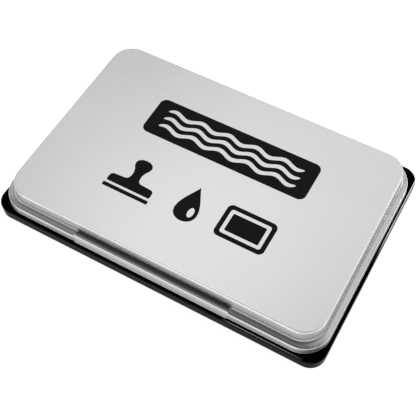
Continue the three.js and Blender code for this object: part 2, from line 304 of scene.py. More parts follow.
def black_plastic():
    """Textured moulded plastic, paler where it is rubbed."""
    s = Shader("black_plastic")
    texture = s.noise(2600, detail=3.0)
    cloudy = s.noise(70, detail=3.0)
    rubbed_and_highlight = s.mask("rubbed_and_highlight")
    colour = s.blend(s.span(cloudy, 0, 1), (0.011, 0.011, 0.012), (0.019, 0.019, 0.02))
    colour = s.blend(s.math("MULTIPLY", rubbed_and_highlight, 0.4), colour, (0.05, 0.05, 0.052))
    return s.finish(Base_Color=colour, Roughness=s.span(texture, 0.36, 0.5),
                    Normal=s.bump(texture, 0.012, 0.5))


def weave(s, pitch, wandering=5.0):
    """Height of a plain weave in the XY plane, with threads at a pitch in millimetres."""
    turn = math.pi / (pitch * MM)
    split = s.tree.nodes.new("ShaderNodeSeparateXYZ")
    s.put(split.inputs[0], s.place)
    wander = s.math("MULTIPLY", s.noise(160, detail=2.0), wandering)
    along = [s.math("ADD", s.math("MULTIPLY", split.outputs[axis], turn), wander) for axis in "XY"]
    over, under = [s.math("SINE", angle) for angle in along]
    threads = [s.math("ABSOLUTE", wave) for wave in (over, under)]
    checks = s.math("MULTIPLY", over, under)
    raised = s.math("ADD", s.math("MULTIPLY", checks, 0.5), 0.5)
    return s.math("ADD", s.math("MULTIPLY", threads[0], raised),
                  s.math("MULTIPLY", threads[1], s.math("SUBTRACT", 1.0, raised)))


def inked_cloth():
    """Fine cloth soaked with black ink, drier and paler where it is used most."""
    s = Shader("inked_cloth")
    cloth = weave(s, 0.42)
    fuzz = s.noise(5200, detail=3.0)
    damp = s.noise(55, detail=4.0, roughness=0.6)
    worn = s.span(s.noise(28, detail=3.0), 0.0, 1.0, 0.45, 0.7)
    wet = s.blend(s.span(damp, 0, 1), (0.006, 0.006, 0.012), (0.016, 0.016, 0.027))
    colour = s.blend(s.math("MULTIPLY", cloth, 0.55), wet, (0.045, 0.045, 0.062))
    colour = s.blend(s.math("MULTIPLY", worn, 0.25), colour, (0.05, 0.05, 0.07))
    roughness = s.math("SUBTRACT", s.span(damp, 0.72, 0.5), s.math("MULTIPLY", fuzz, 0.06))
    s.surface.inputs["Sheen Weight"].default_value = 0.25
    s.surface.inputs["Sheen Roughness"].default_value = 0.5
    normal = s.bump(cloth, 0.09, 0.9, under=s.bump(fuzz, 0.03, 0.5))
    return s.finish(Base_Color=colour, Roughness=roughness, Normal=normal)


def felt_wool():
    """Matted wool, stained with ink."""
    s = Shader("felt_wool")
    fibre = s.noise(2600, detail=6.0, roughness=0.7)
    clump = s.noise(420, detail=3.0)
    colour = s.blend(s.span(fibre, 0, 1), (0.008, 0.008, 0.016), (0.05, 0.05, 0.075))
    colour = s.blend(s.span(clump, 0, 0.4), colour, (0.012, 0.012, 0.03))
    s.surface.inputs["Sheen Weight"].default_value = 0.4
    return s.finish(Base_Color=colour, Roughness=s.span(clump, 0.85, 0.98), Normal=s.bump(fibre, 0.12, 0.9))


def open_foam():
    """Open-celled foam, soaked with ink."""
    s = Shader("open_foam")
    cells = s.add("TexVoronoi", output="Distance", Vector=s.place, Scale=1500)
    tone = s.noise(200, detail=3.0)
    colour = s.blend(s.span(cells, 0, 1, 0.1, 0.5), (0.006, 0.006, 0.02), (0.07, 0.07, 0.11))
    colour = s.blend(s.span(tone, 0, 0.4), colour, (0.02, 0.02, 0.04))
    return s.finish(Base_Color=colour, Roughness=s.span(tone, 0.8, 0.95), Normal=s.bump(cells, 0.2, 0.9))


def grey_board():
    """Fibrous board with ink stains."""
    s = Shader("grey_board")
    fibre = s.noise(1800, detail=6.0, stretch=(0.3, 1, 1), roughness=0.7)
    stain = s.noise(60, detail=4.0)
    colour = s.blend(s.span(fibre, 0, 1), (0.32, 0.26, 0.18), (0.5, 0.42, 0.31))
    colour = s.blend(s.span(stain, 0, 0.8, 0.45, 0.65), colour, (0.03, 0.03, 0.05))
    return s.finish(Base_Color=colour, Roughness=s.span(fibre, 0.85, 0.97), Normal=s.bump(fibre, 0.06, 0.7))


MATERIALS = {
    "tinplate": tinplate(),
    "black_lacquer": black_lacquer(),
    "steel_wire": steel_wire(),
    "black_plastic": black_plastic(),
    "pan_tin": tinplate("pan_tin", (0.52, 0.52, 0.53), (0.64, 0.64, 0.65), (0.36, 0.5)),
    "inked_cloth": inked_cloth(),
    "felt": felt_wool(),
    "foam": open_foam(),
    "board": grey_board(),
    "print": printing_ink(),
}


# ---------------------------------------------------------------- sections and lofts

def arc(offset, height, radius, start, stop, steps):
    """Points of an arc in a section, between two angles in degrees."""
    points = []
    for i in range(steps + 1):
        angle = math.radians(start + (stop - start) * i / steps)
        points.append((offset + radius * math.cos(angle), height + radius * math.sin(angle)))
    return points


def line(a, b, steps):
    """Points after a, up to and with b."""
    return [(a[0] + (b[0] - a[0]) * i / steps, a[1] + (b[1] - a[1]) * i / steps)
            for i in range(1, steps + 1)]


def between(low, high, steps):
    """Even places from low to high, with both."""
    return [low + (high - low) * i / steps for i in range(steps + 1)]


QUARTERS = ((1, 1), (-1, 1), (-1, -1), (1, -1))
SIDE_X = [-48, *between(-44, 44, 22), 48]
SIDE_Y = [-28, *between(-24, 24, 12), 28]


def stations(front=SIDE_X, back=SIDE_X, corner_steps=20, front_tight=0.0):
    """Places round the rounded rectangle, anticlockwise from above. Each is a function of offset and
    corner radius that gives x and y. The front corners may be tighter, by a share of the offset."""
    def in_corner(sx, sy, angle):
        c, s = math.cos(angle), math.sin(angle)

        def place(o, r):
            if sy < 0 and o > 0:
                r -= front_tight * o
            return sx * (HALF_X + o - r) + r * c, sy * (HALF_Y + o - r) + r * s
        return place

    def drawn_in(along, half, reach, o, r):
        return along * min(1.0, SIDE_SHARE * (half + o - r) / reach)

    def on_long_side(x, sy):
        return lambda o, r: (drawn_in(x, HALF_X, SIDE_X[-1], o, r), sy * (HALF_Y + o))

    def on_short_side(y, sx):
        return lambda o, r: (sx * (HALF_X + o), drawn_in(y, HALF_Y, SIDE_Y[-1], o, r))

    sides = (
        [on_long_side(x, 1) for x in reversed(back)],
        [on_short_side(y, -1) for y in reversed(SIDE_Y)],
        [on_long_side(x, -1) for x in front],
        [on_short_side(y, 1) for y in SIDE_Y],
    )
    around = []
    for quarter, (sx, sy) in enumerate(QUARTERS):
        for i in range(corner_steps + 1):
            around.append(in_corner(sx, sy, math.radians(90 * (quarter + i / corner_steps))))
        around += sides[quarter]
    return around


def add_piece(name, mesh, slot, body, material=None):
    """A piece that rides on a body. Its material goes by its slot, unless another is named."""
    piece = bpy.data.objects.new(name, mesh)
    bpy.context.scene.collection.objects.link(piece)
    mesh.materials.append(MATERIALS[material or slot])
    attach(piece, body)
    return piece


def mesh_piece(name, verts, faces, slot, body):
    """A smooth-shaded piece, from millimetres."""
    mesh = bpy.data.meshes.new(name)
    mesh.from_pydata([[c * MM for c in v] for v in verts], [], faces)
    mesh.validate()
    mesh.shade_smooth()
    return add_piece(name, mesh, slot, body)


def loft(rings, closed=False, caps=2):
    """Vertices and faces of a skin over rings of equal length. An open stack is capped at its first
    ring, and at its last one too where there are two caps."""
    count = len(rings[0])
    verts = [v for ring in rings for v in ring]
    faces = []
    for k in range(len(rings) if closed else len(rings) - 1):
        a, b = k * count, (k + 1) % len(rings) * count
        for i in range(count):
            j = (i + 1) % count
            faces.append((a + i, b + i, b + j, a + j))
    if not closed:
        for first, up in ((0, True), (len(verts) - count, False))[:caps]:
            ring = verts[first:first + count]
            verts.append([sum(v[axis] for v in ring) / count for axis in range(3)])
            middle = len(verts) - 1
            for i in range(count):
                here, after = first + i, first + (i + 1) % count
                faces.append((middle, here, after) if up else (middle, after, here))
    return verts, faces


def rings_of(section, around, radius_at):
    """One ring of points round the object for each point of a section."""
    return [[(*place(o, radius_at(o)), z) for place in around] for o, z in section]


def weighted(piece):
    """Lets broad faces set the shading beside tight bends."""
    modifier = piece.modifiers.new("weighted_normal", "WEIGHTED_NORMAL")
    modifier.weight = 80
    modifier.keep_sharp = True


def store(piece, name, share):
    """Stores a share from 0 to 1 at each vertex, for the material."""
    attribute = piece.data.attributes.new(name, "FLOAT", "POINT")
    for i, vertex in enumerate(piece.data.vertices):
        attribute.data[i].value = max(0.0, min(1.0, share(vertex.co / MM)))


def rub_and_highlight(piece, share, patches=0.5):
    """Stores how rubbed each vertex is, which comes and goes along an edge. On the lid and the tray rim
    this brightening is partly a painted highlight.
    """
    store(piece, "rubbed_and_highlight", lambda p: share(p) * (1 - patches + patches * noise.noise(p * 0.21)))


def smoothstep(t):
    """A soft step from 0 to 1."""
    t = max(0.0, min(1.0, t))
    return t * t * (3 - 2 * t)


def rise(value, start, width):
    """0 up to start, and 1 from a width above it."""
    return smoothstep((value - start) / width)


def fall(value, stop, width):
    """1 up to a width below stop, and 0 from it."""
    return smoothstep((stop - value) / width)


def outward(p):
    """Offset of a point outside the panel's edge."""
    return max(abs(p.x) - HALF_X, abs(p.y) - HALF_Y)


# ---------------------------------------------------------------- lid

def panel_edge():
    """The panel's edge: a tight bend that opens into a wider one, down to the head of the wall."""
    middle = (EDGE_START, TOP - EDGE_TIGHT)
    turn = math.radians(EDGE_TURN)
    apart = EDGE_WIDE - EDGE_TIGHT
    wider = (middle[0] - apart * math.cos(turn), middle[1] - apart * math.sin(turn))
    tight_bend = arc(*middle, EDGE_TIGHT, 90, EDGE_TURN, 5)
    wide_bend = arc(*wider, EDGE_WIDE, EDGE_TURN, WALL_TURN, 6)
    return tight_bend + wide_bend[1:]


def lid_section(bead_height, bead_from, cove_end, ledge, flare=0.0):
    """The lid's section, down the outside from the panel, round the hem and up the inside."""
    edge = panel_edge()
    cove_middle = (WALL_FOOT + COVE_RADIUS, ledge + COVE_RADIUS)
    cove_bend = arc(*cove_middle, COVE_RADIUS, 180, cove_end, 12)
    bead = arc(BEAD, bead_height, BEAD_RADIUS, bead_from, 0, 12)
    hem_middle = (HEM + flare, SKIRT_BOTTOM + HEM_RADIUS + flare / 2)
    hem_turn = arc(*hem_middle, HEM_RADIUS, 40, -90, 10)
    outside = [
        *edge,
        *line(edge[-1], cove_bend[0], 8)[:-1],
        *cove_bend,
        *line(cove_bend[-1], bead[0], 3)[:-1],
        *bead,
        *line(bead[-1], hem_turn[0], 5)[:-1],
        *hem_turn,
    ]
    inside = [
        (hem_middle[0] - HEM_RADIUS + SHEET / 8, hem_middle[1]),
        *arc(BEAD, bead_height, BEAD_RADIUS - SHEET, 0, bead_from, 4),
        *arc(*cove_middle, COVE_RADIUS + SHEET, cove_end, 180, 8),
        *arc(-0.5, TOP - SHEET - 0.1, 0.1, 0, 90, 4),
    ]
    return outside + inside


# Beside the thumb lip the ledge slopes down to a low bead. At the lip it rises to a higher one.
PLAIN = {"bead_height": TOP - 6.08, "bead_from": 78, "cove_end": 258, "ledge": TOP - 5.3}
LIP = {"bead_height": TOP - 5.1, "bead_from": 145, "cove_end": 275, "ledge": TOP - 5.5, "flare": 0.3}


def lid_radius(offset):
    """Corner radius of the lid."""
    return max(PANEL_RADIUS + (CORNER_OPENING * offset if offset > 0 else offset), LEAST_RADIUS)


def on_lip(x, y):
    """How far a place belongs to the thumb lip."""
    return fall(abs(x), LIP_END + LIP_STEP / 2, LIP_STEP) if y < 0 else 0.0


PANEL_STEPS = [-37.5, -30, -20, -12, -7, -4, -2, -1.2, -0.8]


def make_lid():
    """The lid's shell: the panel, the pressed sides with the thumb lip in them, and the underside."""
    fine = 1.2                                  # close stations this far to each side of the lip's ends
    near_step = between(LIP_END - fine, LIP_END + fine, 12)
    front = sorted({*[x for x in SIDE_X if abs(abs(x) - LIP_END) > fine + 0.4],
                    *near_step, *[-x for x in near_step]})
    around = stations(front=front, front_tight=FRONT_TIGHT)
    plain, lip = lid_section(**PLAIN), lid_section(**LIP)
    top = rings_of([(o, TOP) for o in PANEL_STEPS], around, lid_radius)
    under = rings_of([(o - 0.2, TOP - SHEET) for o in reversed(PANEL_STEPS)], around, lid_radius)
    shell = rings_of(plain, around, lid_radius)
    for ring, (offset, height), (lip_offset, lip_height) in zip(shell, plain, lip):
        for i, (x, y, z) in enumerate(ring):
            share = on_lip(x, y)
            ring[i] = (x, y - share * (lip_offset - offset), z + share * (lip_height - height))
    verts, faces = loft(top + shell + under)
    lid = mesh_piece("lid", verts, faces, "tinplate", "lid")
    wear_lid(lid)
    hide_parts("lid_shell")


def wear_lid(lid):
    """Stores where the lid is rubbed bright (edge wear, and a painted highlight), dull from drawing (with
    painted shade), and where painted shade darkens it.
    """
    # The panel edge and bead top: rubbed wear, brightened as a painted highlight too.
    def rubbed_and_highlight(p):
        edge = max(0.0, 1 - abs(outward(p) + 0.12) / 0.3) if p.z > WALL_HEAD_HEIGHT else 0.0
        bead_height = PLAIN["bead_height"] + on_lip(p.x, p.y) * (LIP["bead_height"] - PLAIN["bead_height"])
        bead = max(0.0, 1 - abs(outward(p) - BEAD - 0.45) / 0.3) if p.z > bead_height else 0.0
        return max(edge, bead)

    # The drawn wall and skirt: rougher metal, with a darker colour that is partly painted shade.
    def drawn(p):
        skirt = fall(p.z, PLAIN["bead_height"] + 0.2, 0.8)
        wall = rise(p.z, TOP - 5.2, 1.5) * fall(p.z, WALL_HEAD_HEIGHT + 0.15, 0.3)
        return max(skirt, wall)

    # Painted shade where shade falls: the cove, and at the thumb lip the groove and the skirt below the
    # bead.
    def painted_shade(p):
        out = outward(p)
        groove = rise(out, 0.3, 0.3) * fall(out, 1.95, 0.3) * fall(p.z, TOP - 4.2, 0.6)
        skirt = 0.4 * (p.z < LIP["bead_height"]) * (out > BEAD + 0.3)
        cove = 0.35 * rise(out, 0.3, 0.15) * fall(out, 1.2, 0.3) * fall(p.z, TOP - 3.5, 1.0)
        return max(on_lip(p.x, p.y) * max(skirt, groove), cove)

    rub_and_highlight(lid, rubbed_and_highlight, patches=0.3)
    store(lid, "drawn", drawn)
    store(lid, "painted_shade", painted_shade)


make_lid()


# ---------------------------------------------------------------- hinge

def curl_section(lead, start, stop):
    """A strip along a lead and round the hinge axis, as (y, z) points of its outline."""
    outer = arc(hinge.y, hinge.z, CURL_RADIUS, start, stop, 36)
    inner = arc(hinge.y, hinge.z, BORE_RADIUS, start, stop, 36)
    end = math.radians(stop)
    middle, blunt = BORE_RADIUS + SHEET / 2, 0.1
    nose = (hinge.y + middle * math.cos(end) + blunt * math.sin(end),
            hinge.z + middle * math.sin(end) - blunt * math.cos(end))
    return [*lead, *outer, nose, *reversed(inner)]


def strip_piece(name, outline, low, high, slot, body):
    """A solid with an outline in the YZ plane, from one x to another, with softened ends."""
    bm = bmesh.new()
    face = bm.faces.new([bm.verts.new((low * MM, y * MM, z * MM)) for y, z in outline])
    out = bmesh.ops.extrude_face_region(bm, geom=[face])
    moved = [v for v in out["geom"] if isinstance(v, bmesh.types.BMVert)]
    bmesh.ops.translate(bm, vec=((high - low) * MM, 0, 0), verts=moved)
    bmesh.ops.recalc_face_normals(bm, faces=bm.faces)
    mesh = bpy.data.meshes.new(name)
    bm.to_mesh(mesh)
    bm.free()
    mesh.shade_smooth()
    piece = add_piece(name, mesh, slot, body)
    bevel = piece.modifiers.new("soft_ends", "BEVEL")
    bevel.width = SOFT_END * MM
    bevel.segments = 2
    bevel.limit_method = "ANGLE"
    bevel.angle_limit = math.radians(50)
    weighted(piece)


def make_hinges():
    """Two hinges, each with a lid knuckle between two tray knuckles on a wire."""
    root = HALF_Y + HEM + 0.1
    lid_lead = [(root, hinge.z + BORE_RADIUS), (root, hinge.z + CURL_RADIUS)]
    foot = hinge.z - CURL_RADIUS
    tray_lead = [(hinge.y - BORE_RADIUS, foot), (hinge.y - CURL_RADIUS, foot)]
    half = LID_KNUCKLE / 2
    reach = half + KNUCKLE_GAP
    for side, word in ((-1, "left"), (1, "right")):
        x = side * HINGE_X
        strip_piece(f"lid_knuckle_{word}", curl_section(lid_lead, 90, -200), x - half, x + half,
                    "tinplate", "lid")
        for start, place in ((x - reach - TRAY_KNUCKLE, "outer" if side < 0 else "inner"),
                             (x + reach, "inner" if side < 0 else "outer")):
            strip_piece(f"tray_knuckle_{word}_{place}", curl_section(tray_lead, 180, -110),
                        start, start + TRAY_KNUCKLE, "black_lacquer", "base")
        make_pin(f"hinge_pin_{word}_wire", x, f"hinge_pin_{word}")


def make_pin(name, x, node, sides=32):
    """A short wire with domed ends."""
    half = (pin_high.x - pin_low.x) / 2
    domed = PIN_RADIUS * 0.45
    blunt = 0.02
    rings = []
    for end, start, stop in ((1, 0, 90), (-1, 90, 180)):
        for along, across in arc(0, 0, 1, start, stop, 8):
            place = x + end * (half - domed) + along * domed
            radius = max(across * PIN_RADIUS, blunt)
            angles = [2 * math.pi * i / sides for i in range(sides)]
            rings.append([(place, hinge.y + radius * math.cos(a), hinge.z + radius * math.sin(a))
                          for a in angles])
    verts, faces = loft(rings)
    pin = mesh_piece(name, verts, faces, "steel_wire", "base")
    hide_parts(node)


make_hinges()


# ---------------------------------------------------------------- tray

def tray_wear_and_highlight(p):
    """Lacquer is worn through along the top of the rim, at the back of the right side and front right: a
    bare line that is wear, and partly a painted highlight where the light catches the rim.
    """
    if p.z < RIM_TOP - 0.4:
        return 0.0
    worn_line = (RIM_INNER + RIM_OFFSET) / 2 - 0.06
    right = rise(p.y, 2, 16) * rise(p.x, HALF_X, 2)
    front = rise(p.x, LIP_END, 3) * fall(p.x, 54, 6) * (p.y < 0)
    return 2 * max(right, front) * (abs(outward(p) - worn_line) < 0.18)


def tray_radius(offset):
    """Corner radius of the tray."""
    return TRAY_RADIUS + offset - TRAY_FOOT if offset > 0 else TRAY_RADIUS


def tray_section():
    """The tray's section, from the middle of its floor over the rim and back underneath."""
    rim = (RIM_OFFSET - RIM_INNER) / 2
    fillet, bottom_edge = 0.5, 0.45
    wall_foot = RIM_INNER - 0.2
    groove_side = [(1.7, 0), (1.5, 0.02), (1.22, 0.27), (1.0, 0.3)]
    return [
        (-30, TRAY_FLOOR), (-12, TRAY_FLOOR), (-2, TRAY_FLOOR), (wall_foot - 2 * fillet, TRAY_FLOOR),
        *arc(wall_foot - fillet, TRAY_FLOOR + fillet, fillet, 270, 360, 6),
        *line((wall_foot, TRAY_FLOOR + fillet), (RIM_INNER, RIM_TOP - rim), 6)[:-1],
        *arc(RIM_INNER + rim, RIM_TOP - rim, rim, 180, 0, 14),
        *line((RIM_OFFSET, RIM_TOP - rim), (TRAY_FOOT, bottom_edge), 6)[:-1],
        *arc(TRAY_FOOT - bottom_edge, bottom_edge, bottom_edge, 0, -90, 7),
        (TRAY_FOOT - 1.2, 0),
        *[(GROOVE + out, z) for out, z in groove_side],
        *[(GROOVE - out, z) for out, z in reversed(groove_side)],
        (-20, 0), (-34, 0),
    ]


def make_tray():
    """The tray, with a notch in its back rim for each lid knuckle."""
    reach = LID_KNUCKLE / 2 + KNUCKLE_GAP
    notch_low = hinge.z - CURL_RADIUS - KNUCKLE_GAP
    notch_step = 0.2
    edges = [side * HINGE_X + end * reach for side in (-1, 1) for end in (-1, 1)]
    steps = [edge + near for edge in edges for near in between(-0.3, 0.3, 6)]
    back = sorted({*[x for x in SIDE_X if min(abs(x - edge) for edge in edges) > 0.6], *steps})
    rings = rings_of(tray_section(), stations(back=back), tray_radius)
    for ring in rings:
        for i, (x, y, z) in enumerate(ring):
            if y > HALF_Y + RIM_INNER - 0.5 and z > notch_low:
                inside = fall(abs(abs(x) - HINGE_X), reach + notch_step / 2, notch_step)
                ring[i] = (x, y, z - inside * (z - notch_low))
    verts, faces = loft(rings)
    tray = mesh_piece("tray", verts, faces, "black_lacquer", "base")
    rub_and_highlight(tray, tray_wear_and_highlight, patches=0.0)
    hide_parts("base_tray")


make_tray()


# ---------------------------------------------------------------- pad

def pad_radius(offset):
    """Corner radius of the pad's pieces. Inside the frame's lip the corners open out again."""
    if offset >= CROWN_EDGE:
        return PAD_CORNER + offset - CLOTH_OUTER
    opened = PAD_CORNER + CROWN_EDGE - CLOTH_OUTER + 0.6 * (CROWN_EDGE - offset)
    return min(opened, 5.0, 0.6 * (HALF_Y + offset))


def crown(inset, steps=12):
    """Section of the crowned top from its middle down to the frame's lip, inset from its face."""
    return [(CROWN_MIDDLE + u * (CROWN_RUN - inset), CLOTH_EDGE + v * (CROWN_RISE - inset))
            for u, v in arc(0, 0, 1, 90, 0, steps)]


def inflate(piece, pinned, scale=10.0, frames=20, pressure=3.0, cap=0.5, spread=7.0):
    """Swells a cloth by simulation at an enlarged scale, moving no point by more than cap mm.

    Each free point rises by the mean of the rises within spread mm, so that the cloth stays taut.
    """
    rest = [v.co.copy() for v in piece.data.vertices]
    mesh = piece.data.copy()
    mesh.transform(Matrix.Scale(scale, 4))
    body = bpy.data.objects.new("swelling", mesh)
    bpy.context.scene.collection.objects.link(body)
    group = body.vertex_groups.new(name="pinned")
    group.add(pinned, 1.0, "REPLACE")
    modifier = body.modifiers.new("cloth", "CLOTH")
    settings = modifier.settings
    settings.quality = 6
    settings.mass = 0.3
    settings.tension_stiffness = settings.compression_stiffness = 20
    settings.bending_stiffness = 0.3
    settings.vertex_group_mass = "pinned"
    settings.use_pressure = True
    settings.uniform_pressure_force = pressure
    settings.effector_weights.gravity = 0
    modifier.point_cache.frame_start = 1
    modifier.point_cache.frame_end = frames
    scene = bpy.context.scene
    for number in range(1, frames + 1):
        scene.frame_set(number)
    shaped = body.evaluated_get(bpy.context.evaluated_depsgraph_get()).data
    rises = [moved.co.z / scale - start.z for start, moved in zip(rest, shaped.vertices)]
    nearby = kdtree.KDTree(len(rest))
    for index, start in enumerate(rest):
        nearby.insert(start, index)
    nearby.balance()
    for index in sorted(set(range(len(rest))) - set(pinned)):
        near = [rises[other] for _, other, _ in nearby.find_range(rest[index], spread * MM)]
        raised = sum(near) / len(near)
        piece.data.vertices[index].co.z += max(-cap * MM, min(cap * MM, raised))
    bpy.data.objects.remove(body)
    bpy.data.meshes.remove(mesh)
    scene.frame_set(1)


def pucker(cloth, ripple_height=0.09, sag_depth=0.12):
    """Small ripples fan out from the corners of the cloth's top, and its middle is a little uneven."""
    for vertex in cloth.data.vertices:
        x, y, z = vertex.co / MM
        if z < CLOTH_EDGE:
            continue
        inside = FRAME_LIP_INNER - outward(Vector((x, y, z)))
        corner = rise(math.hypot(max(abs(x) - 38, 0), max(abs(y) - 18, 0)), 6, 14)
        near_lip = rise(inside, 0, 1.5) * fall(inside, 16, 10)
        angle = math.atan2(abs(y) - 12, abs(x) - 32)
        fan = math.sin(angle * 34 + 2 * noise.noise(vertex.co / MM * 0.1))
        sag = sag_depth * noise.noise(Vector((x, y, 0)) * 0.055) * rise(inside, 0, 8)
        vertex.co.z += (ripple_height * corner * near_lip * fan + sag - 0.1) * MM


def thin_out(piece, count, apart=0.3):
    """Merges those of a piece's first vertices that are crowded at the mitres, in mm."""
    bm = bmesh.new()
    bm.from_mesh(piece.data)
    bm.verts.ensure_lookup_table()
    bmesh.ops.remove_doubles(bm, verts=bm.verts[:count], dist=apart * MM)
    bm.to_mesh(piece.data)
    bm.free()


def make_cloth():
    """Cloth stretched over the felt, turned over the pan's edge and down its outside."""
    edge = crown(CLOTH_INSET)
    middle = [(o, CLOTH_EDGE + CROWN_RISE - CLOTH_INSET) for o in (-36.8, *between(-36, -10, 26), -9.2)]
    outer = CLOTH_OUTER - CLOTH_INSET
    section = [
        *middle, *edge,
        *line(edge[-1], (outer - 0.3, CLOTH_EDGE - 0.25), 4),
        (outer - 0.05, CLOTH_EDGE - 0.45),
        *line((outer, CLOTH_EDGE - 0.8), (outer, cloth_low.z + 0.2), 6),
    ]
    side = between(-50, 50, 50)
    around = stations(front=side, back=side, corner_steps=12)
    verts, faces = loft(rings_of(section, around, pad_radius), caps=1)
    cloth = mesh_piece("pad_cloth", verts, faces, "inked_cloth", "base")
    held = (len(middle) + len(edge) - 2) * len(around)
    inflate(cloth, list(range(held, len(verts) - 1)))
    pucker(cloth)
    thin_out(cloth, len(middle) * len(around))
    thick = cloth.modifiers.new("thickness", "SOLIDIFY")
    thick.thickness = 0.4 * MM
    thick.offset = 0
    finer = cloth.modifiers.new("finer", "SUBSURF")
    finer.levels = finer.render_levels = 1
    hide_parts("cover_cloth")


def make_foam():
    """Foam with soft edges and slightly uneven faces."""
    low, high, edge, roughness = foam_low.z, foam_high.z, 0.5, 0.25
    offset = foam_high.x - HALF_X
    section = [
        *[(o, high - edge * 0.1) for o in INNER_STEPS],
        *arc(offset - edge, high - edge, edge, 90, 0, 6),
        *line((offset, high - edge), (offset, low + edge), 4),
        *arc(offset - edge, low + edge, edge, 0, -90, 6)[1:],
        (-20, low), (-37, low),
    ]
    verts, faces = loft(rings_of(section, stations(corner_steps=10), pad_radius))
    uneven = []
    for x, y, z in verts:
        dent = roughness * noise.noise(Vector((x, y, z)) * 0.45)
        inward = 1 - abs(dent) / foam_high.x
        if z >= high:
            z -= abs(dent) * 0.3
        elif z > low + edge:
            z += dent * 0.5
        uneven.append((x * inward, y * inward, z))
    foam = mesh_piece("pad_foam", uneven, faces, "foam", "base")
    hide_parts("reservoir_foam")


def make_felt():
    """Felt crowned under the cloth, with a shelf round it that the frame's lip presses on."""
    top = crown(FELT_INSET)
    offset = felt_high.x - HALF_X
    shelf = felt_high.z - 2.7
    soft = 0.2
    section = [
        *[(o, top[0][1]) for o in INNER_STEPS], *top,
        (top[-1][0] + 0.1, shelf + 0.1), (top[-1][0] + 0.4, shelf), (offset - soft, shelf),
        (offset, shelf - soft), (offset, felt_low.z + soft), (offset - soft, felt_low.z),
        (-20, felt_low.z), (-37, felt_low.z),
    ]
    verts, faces = loft(rings_of(section, stations(corner_steps=10), pad_radius))
    settled = []
    for x, y, z in verts:
        dip = 0.08 * abs(noise.noise(Vector((x, y, z)) * 0.5)) * (z > shelf)
        settled.append((x, y, z - dip))
    felt = mesh_piece("pad_felt", settled, faces, "felt", "base")
    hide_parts("felt_layer")


def make_frame():
    """Frame pressed over the cloth, with a lip over the pan's edge."""
    inner = FRAME_OUTER - 1.0
    low, high = frame_low.z, frame_high.z
    lip_bottom = high - 0.6
    edge = 0.3
    section = [
        *arc(FRAME_OUTER - edge, high - edge, edge, 90, 0, 8),
        *line((FRAME_OUTER, high - edge), (FRAME_OUTER, low + 0.1), 4),
        (FRAME_OUTER - 0.1, low), (inner + 0.1, low), (inner, low + 0.1),
        *line((inner, low + 0.1), (inner, lip_bottom), 3),
        *arc(FRAME_LIP_INNER + edge, lip_bottom + edge, edge, 270, 90, 10),
        (FRAME_LIP_INNER + 1.2, high), (FRAME_OUTER - 1.2, high),
    ]
    verts, faces = loft(rings_of(section, stations(), pad_radius), closed=True)
    piece = mesh_piece("pad_frame", verts, faces, "black_plastic", "base")
    weighted(piece)
    rub_and_highlight(piece, lambda p: smoothstep((p.z - high + 0.25) / 0.25) * 0.6)
    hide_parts("retaining_frame")


def dress_hidden_parts():
    """Materials of the pan and the board, which are shown as they are."""
    for node, slot in (("pad_pan", "pan_tin"), ("backing_board", "board")):
        piece = frame["nodes"][node]
        piece.data.materials.clear()
        piece.data.materials.append(MATERIALS[slot])


make_cloth()
make_felt()
make_frame()
make_foam()
dress_hidden_parts()


# ---------------------------------------------------------------- print on the lid

INK_FILM = 0.012                                # half of it sinks into the panel
BADGE = (1.0, 13.7)                             # middle of the badge
ICON_ROW = -13.5
STAMP_X, DROP_X, PAD_X = -21.5, 0.5, 21.5


def rounded_box(cx, cy, half_w, half_h, radius, steps=10):
    """Outline of a rectangle with round corners."""
    points = []
    for quarter, (sx, sy) in enumerate(QUARTERS):
        for i in range(steps + 1):
            angle = math.radians(90 * (quarter + i / steps))
            points.append((cx + sx * (half_w - radius) + radius * math.cos(angle),
                           cy + sy * (half_h - radius) + radius * math.sin(angle)))
    return points


def wave_stripe(cx, cy, length, width, height, waves, steps=90):
    """Outline of a level wavy stripe with rounded ends."""
    upper, lower = [], []
    for t in between(0, 1, steps):
        x = cx + (t - 0.5) * length
        y = cy + height * math.sin(2 * math.pi * waves * t)
        half = width / 2 * math.sqrt(max(0.0, 1 - (2 * t - 1) ** 16))
        upper.append((x, y + half))
        lower.append((x, y - half))
    return upper + lower[::-1][1:-1]


def oval(cx, cy, half_w, half_h, steps=40):
    """Outline of an ellipse."""
    turns = [2 * math.pi * i / steps for i in range(steps)]
    return [(cx + half_w * math.cos(t), cy + half_h * math.sin(t)) for t in turns]


def drop(cx, cy, radius, height, steps=40):
    """A drop with a round belly and a point at the top."""
    points = []
    for i in range(steps):
        t = 2 * math.pi * i / steps
        pinch = math.sin(t / 2) ** 1.6
        points.append((cx + radius * math.sin(t) * pinch, cy + height / 2 * math.cos(t)))
    return points


def stamp(cx, cy):
    """A hand stamp seen from the side: knob, waisted neck and block, in one outline."""
    knob = [(0, 8), (1.5, 7.8), (2.8, 7.0), (3.3, 5.8), (3.0, 4.5)]
    neck = [(2.2, 3.2), (1.75, 1.8), (1.7, 0.4), (2.0, -0.8), (2.8, -1.6)]
    block = [(7.6, -1.9), (8.4, -2.5), (8.6, -3.3), (8.6, -4.9), (8.3, -5.3)]
    right = knob + neck + block
    return [(cx + x, cy + y) for x, y in right] + [(cx - x, cy + y) for x, y in reversed(right[1:])]


